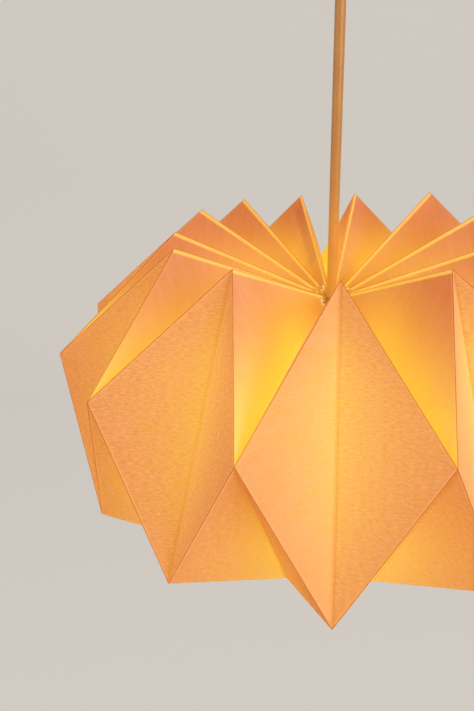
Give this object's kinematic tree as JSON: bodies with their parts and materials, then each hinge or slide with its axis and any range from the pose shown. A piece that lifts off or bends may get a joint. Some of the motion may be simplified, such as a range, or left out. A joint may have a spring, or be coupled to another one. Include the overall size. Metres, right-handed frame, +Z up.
{
  "type": "pleated paper pendant lamp",
  "caption": "Hanging lamp with a folded paper shade of diamond pleats drawn together round a taut cord, with lampholder, bulb and round ceiling canopy.",
  "frame": {"origin": "middle of the ceiling bracket's upper face, which lies against the ceiling; the lamp hangs below it", "axes": "+Z up out of the ceiling face, along the cord; -Y is the side of the shade that the picture shows; X runs along the bracket, through its two screw holes"},
  "size_m": [0.3274, 0.3243, 0.387],
  "materials": {
    "paper": "matte, slightly translucent cream paper with a fine fibre grain",
    "cord_sheath": "smooth, softly shining",
    "canopy_paint": "satin",
    "zinc_steel": "zinc plated",
    "brass_parts": "satin",
    "white_plastic": "matte",
    "holder_plastic": "matte",
    "wire_sheath": "satin",
    "white_ceramic": "unglazed",
    "black_glass": "glossy",
    "bulb_metal": "satin",
    "frosted_globe": "frosted, lit",
    "led_yellow": "matte",
    "board_green": "satin",
    "cotton_thread": "matte",
    "clear_tape": "matte"
  },
  "bodies": {
    "ceiling_fixture": {"ceiling_bracket": "zinc_steel", "canopy": "canopy_paint", "canopy_screws": "brass_parts", "terminal_block": "white_plastic", "terminal_sleeves": "brass_parts", "terminal_screws": "zinc_steel", "terminal_block_screw": "zinc_steel", "canopy_grip": "brass_parts", "canopy_grip_nut": "brass_parts", "canopy_grip_screw": "zinc_steel", "canopy_wires": "wire_sheath", "cord_in_canopy": "cord_sheath"},
    "cord_link": {"cord_bend": "cord_sheath"},
    "pendant": {"cord": "cord_sheath", "holder_grip": "brass_parts", "holder_grip_screw": "zinc_steel", "holder_cap": "holder_plastic", "holder_skirt": "holder_plastic", "holder_wires": "wire_sheath", "holder_posts": "brass_parts", "holder_post_screws": "zinc_steel", "socket_insert": "white_ceramic", "screw_shell": "brass_parts", "centre_contact": "brass_parts"},
    "carrier": {"shade_carrier": "white_plastic"},
    "shade": {"paper_shade": "paper", "gather_thread": "cotton_thread", "seam_tape": "clear_tape"},
    "bulb_travel": {"bulb_insulator": "black_glass"},
    "bulb": {"bulb_tip": "zinc_steel", "bulb_cap": "bulb_metal", "bulb_housing": "white_plastic", "bulb_globe": "frosted_globe", "led_board": "bulb_metal", "leds": "led_yellow", "driver_board": "board_green"}
  },
  "joints": [
    {"name": "swing_x", "type": "hinge", "parent": "ceiling_fixture", "child": "cord_link", "pos_m": [0, 0, -0.068], "axis": [1, 0, 0], "range_deg": [-20, 20], "deforming": ["cord_bend"]},
    {"name": "swing_y", "type": "hinge", "parent": "cord_link", "child": "pendant", "pos_m": [0, 0, -0.068], "axis": [0, 1, 0], "range_deg": [-20, 20]},
    {"name": "carrier_turn", "type": "hinge", "parent": "pendant", "child": "carrier", "pos_m": [0, 0, -0.2444], "axis": [0, 0, 1], "continuous": true},
    {"name": "shade_lift", "type": "slide", "parent": "carrier", "child": "shade", "axis": [0, 0, 1], "range_m": [0, 0.12]},
    {"name": "bulb_out", "type": "slide", "parent": "pendant", "child": "bulb_travel", "axis": [0, 0, -1], "range_m": [0, 0.0109]},
    {"name": "bulb_turn", "type": "hinge", "parent": "bulb_travel", "child": "bulb", "pos_m": [0, 0, -0.3136], "axis": [0, 0, -1], "range_deg": [0, 1080]}
  ],
  "couplings": [
    {"joint": "bulb_out", "follows": "bulb_turn", "m_per_rad": 0.00057773}
  ]
}
